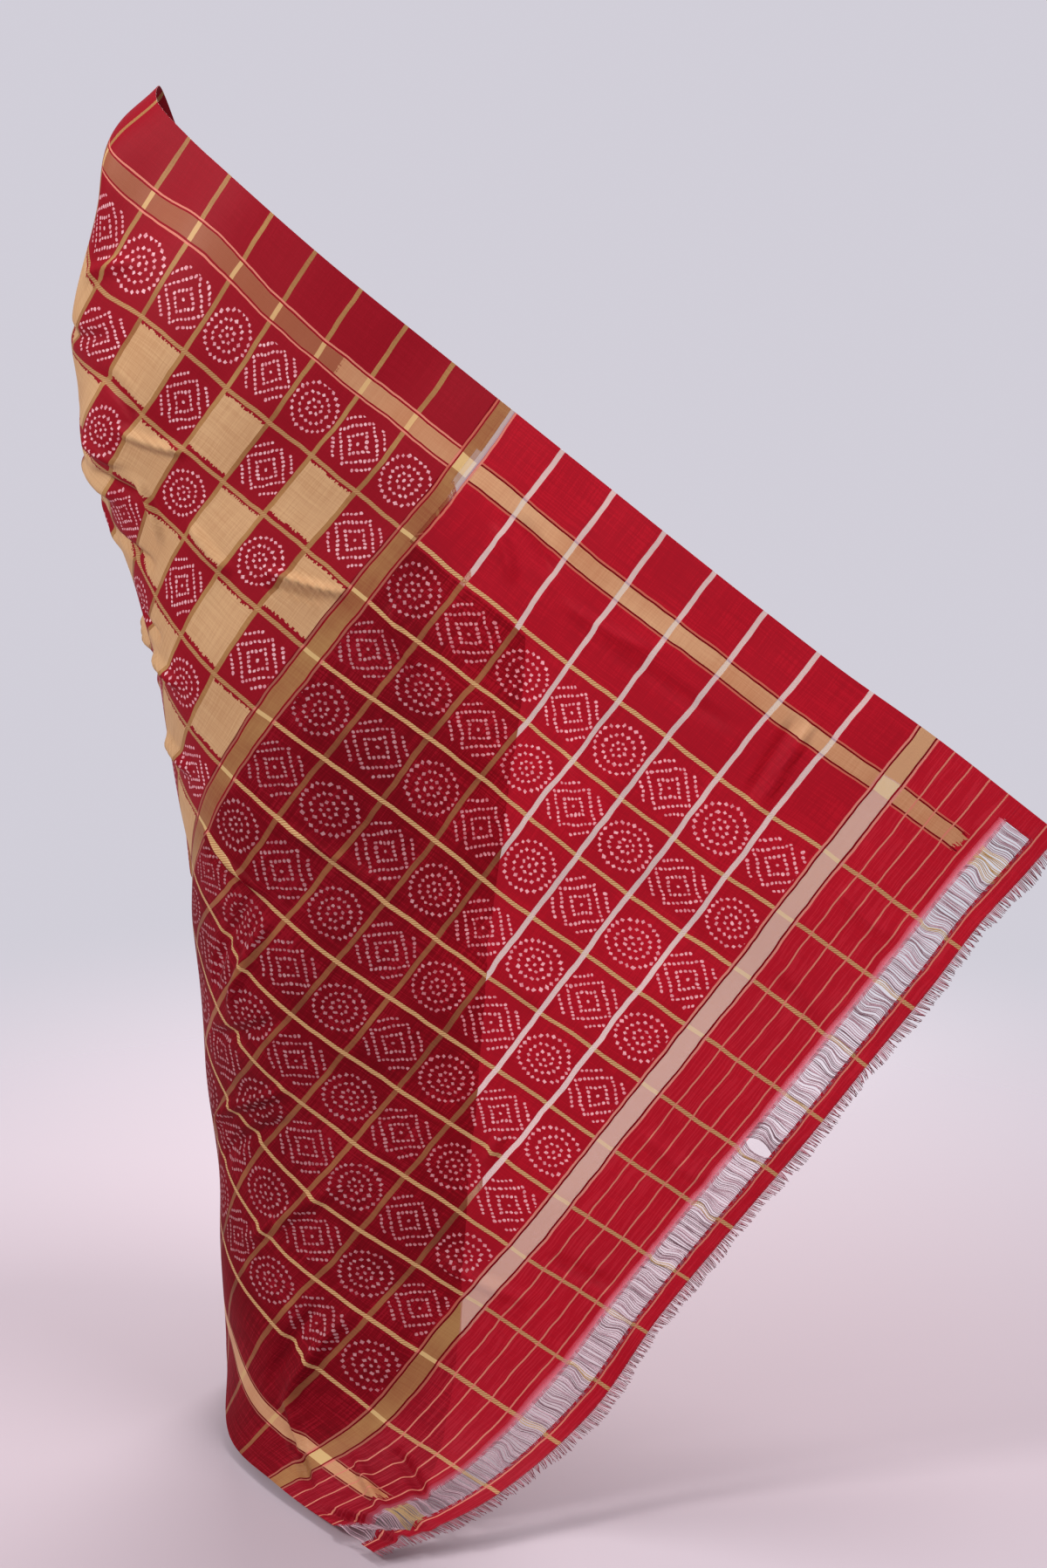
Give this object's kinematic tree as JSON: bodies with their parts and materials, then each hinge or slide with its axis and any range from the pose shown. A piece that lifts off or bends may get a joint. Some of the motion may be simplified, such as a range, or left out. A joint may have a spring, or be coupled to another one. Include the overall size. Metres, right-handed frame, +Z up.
{
  "type": "draped saree",
  "caption": "Silk saree as worn, with wound skirt, front pleats and an open pallu falling from the left shoulder down the back to a fringed end.",
  "frame": {"origin": "middle of the waist, where the wearer holds the saree up, 1.07 m above the floor", "axes": "+Z up, +Y toward the wearer's front, -X toward the wearer's left, the pallu hanging toward -Y"},
  "size_m": [0.9863, 0.5869, 1.4587],
  "materials": {
    "body_silk": "soft silk sheen with metallic check and dotted motifs",
    "end_silk": "thin plain silk with fine metallic lines",
    "open_threads": "loose bare threads",
    "fringe_threads": "short cut thread ends"
  },
  "bodies": {
    "root": {"inner_turn": "body_silk", "front_pleats": "body_silk", "outer_turn": "body_silk", "torso_drape": "body_silk", "side_drape": "body_silk", "pallu_field": "body_silk", "pallu_end": "end_silk", "open_thread_band": "open_threads", "end_strip": "end_silk", "end_fringe": "fringe_threads"}
  },
  "joints": []
}
